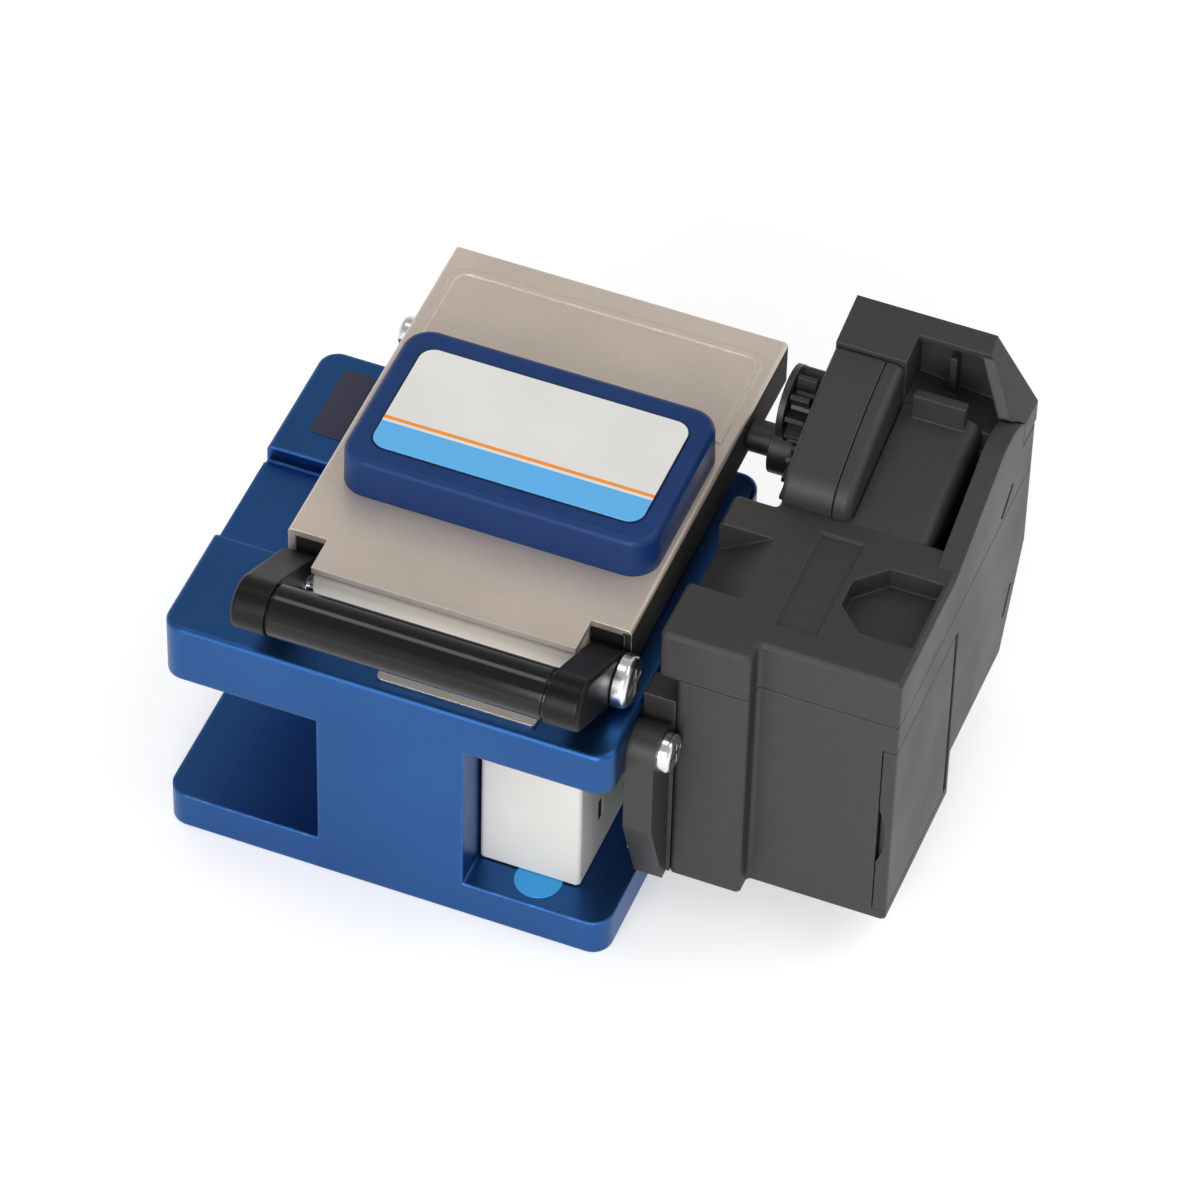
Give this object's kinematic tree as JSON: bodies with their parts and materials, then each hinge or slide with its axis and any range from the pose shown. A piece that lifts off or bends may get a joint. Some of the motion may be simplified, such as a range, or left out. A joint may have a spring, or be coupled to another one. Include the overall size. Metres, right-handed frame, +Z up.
{
  "type": "fibre cleaver",
  "caption": "Bench fibre cleaver: C-shaped frame, sliding blade wheel, hinged clamp lid with lifting lever, and a geared off-cut collector with a side door.",
  "frame": {"origin": "middle of the main frame's underside, on the bench", "axes": "+X towards the off-cut collector, +Y to the rear hinge, +Z up"},
  "size_m": [0.1103, 0.0867, 0.0748],
  "materials": {
    "blue_aluminium": "satin blue anodised",
    "nickel": "warm satin nickel plate",
    "pale_nickel": "pale machined metal",
    "steel": "plain ground steel",
    "blade_steel": "fine ground carbide wheel",
    "chrome": "bright plated",
    "navy_plastic": "semi-gloss moulded navy",
    "black": "satin black",
    "grey_plastic": "light grey moulded",
    "charcoal": "matte charcoal moulded",
    "gear_plastic": "black moulded gear",
    "rubber": "soft black rubber"
  },
  "bodies": {
    "base": {"main_frame": "blue_aluminium", "strike_plate": "steel", "lower_pad_left": "rubber", "lower_pad_right": "rubber", "hinge_block": "pale_nickel", "hinge_screws": "chrome", "bracket": "charcoal", "bracket_screw": "chrome", "bracket_dowel": "steel", "collector_case": "charcoal", "door_pin": "steel", "collector_cover": "charcoal", "drum_shell": "charcoal", "drum_cap": "charcoal", "hood": "charcoal", "idler_axle": "steel", "pinch_bracket": "charcoal"},
    "slider": {"slider_block": "grey_plastic", "slide_rail": "steel", "rail_screws": "chrome", "blade_holder": "steel", "blade_axle": "steel"},
    "blade": {"blade_wheel": "blade_steel"},
    "lid": {"lid_plate": "nickel", "lid_block": "pale_nickel", "lid_magnet": "chrome", "upper_pad_left": "rubber", "upper_pad_right": "rubber", "anvil": "steel", "press_pad": "navy_plastic", "press_screws": "chrome", "hinge_pin": "steel", "lid_sector": "gear_plastic", "lever_screws": "chrome"},
    "lever": {"lever_arm_left": "black", "lever_arm_right": "black", "lever_bar": "black"},
    "input_gear": {"input_shaft": "gear_plastic"},
    "idler": {"idler_gear": "gear_plastic"},
    "feed": {"roller_shaft": "gear_plastic", "feed_roller": "rubber"},
    "pinch": {"pinch_roller": "rubber"},
    "door": {"bin_door": "charcoal"}
  },
  "joints": [
    {"name": "blade_slide", "type": "slide", "parent": "base", "child": "slider", "axis": [0, 1, 0], "range_m": [0, 0.026]},
    {"name": "blade_index", "type": "hinge", "parent": "slider", "child": "blade", "pos_m": [0.0195, -0.0144, 0.0354], "axis": [1, 0, 0], "continuous": true},
    {"name": "lid_hinge", "type": "hinge", "parent": "base", "child": "lid", "pos_m": [0.00507, 0.03455, 0.0492], "axis": [-1, 0, 0], "range_deg": [0, 80]},
    {"name": "lever_hinge", "type": "hinge", "parent": "lid", "child": "lever", "pos_m": [0.00507, -0.01965, 0.049], "axis": [-1, 0, 0], "range_deg": [0, 35]},
    {"name": "input_spin", "type": "hinge", "parent": "base", "child": "input_gear", "pos_m": [0.046, 0.02994, 0.06347], "axis": [-1, 0, 0], "range_deg": [-165, 5]},
    {"name": "idler_spin", "type": "hinge", "parent": "base", "child": "idler", "pos_m": [0.048, 0.02506, 0.05251], "axis": [-1, 0, 0], "range_deg": [-5, 85]},
    {"name": "feed_spin", "type": "hinge", "parent": "base", "child": "feed", "pos_m": [0.056, 0.01198, 0.04752], "axis": [-1, 0, 0], "range_deg": [-112, 5]},
    {"name": "pinch_spin", "type": "hinge", "parent": "base", "child": "pinch", "pos_m": [0.056, 0.01198, 0.03902], "axis": [-1, 0, 0], "range_deg": [-5, 142]},
    {"name": "door_hinge", "type": "hinge", "parent": "base", "child": "door", "pos_m": [0.0733, 0.01055, 0.0275], "axis": [0, 0, 1], "range_deg": [0, 95]}
  ],
  "couplings": [
    {"joint": "input_spin", "follows": "lid_hinge", "ratio": -2},
    {"joint": "idler_spin", "follows": "lid_hinge", "ratio": 1},
    {"joint": "feed_spin", "follows": "lid_hinge", "ratio": -1.3333},
    {"joint": "pinch_spin", "follows": "lid_hinge", "ratio": 1.7037}
  ]
}
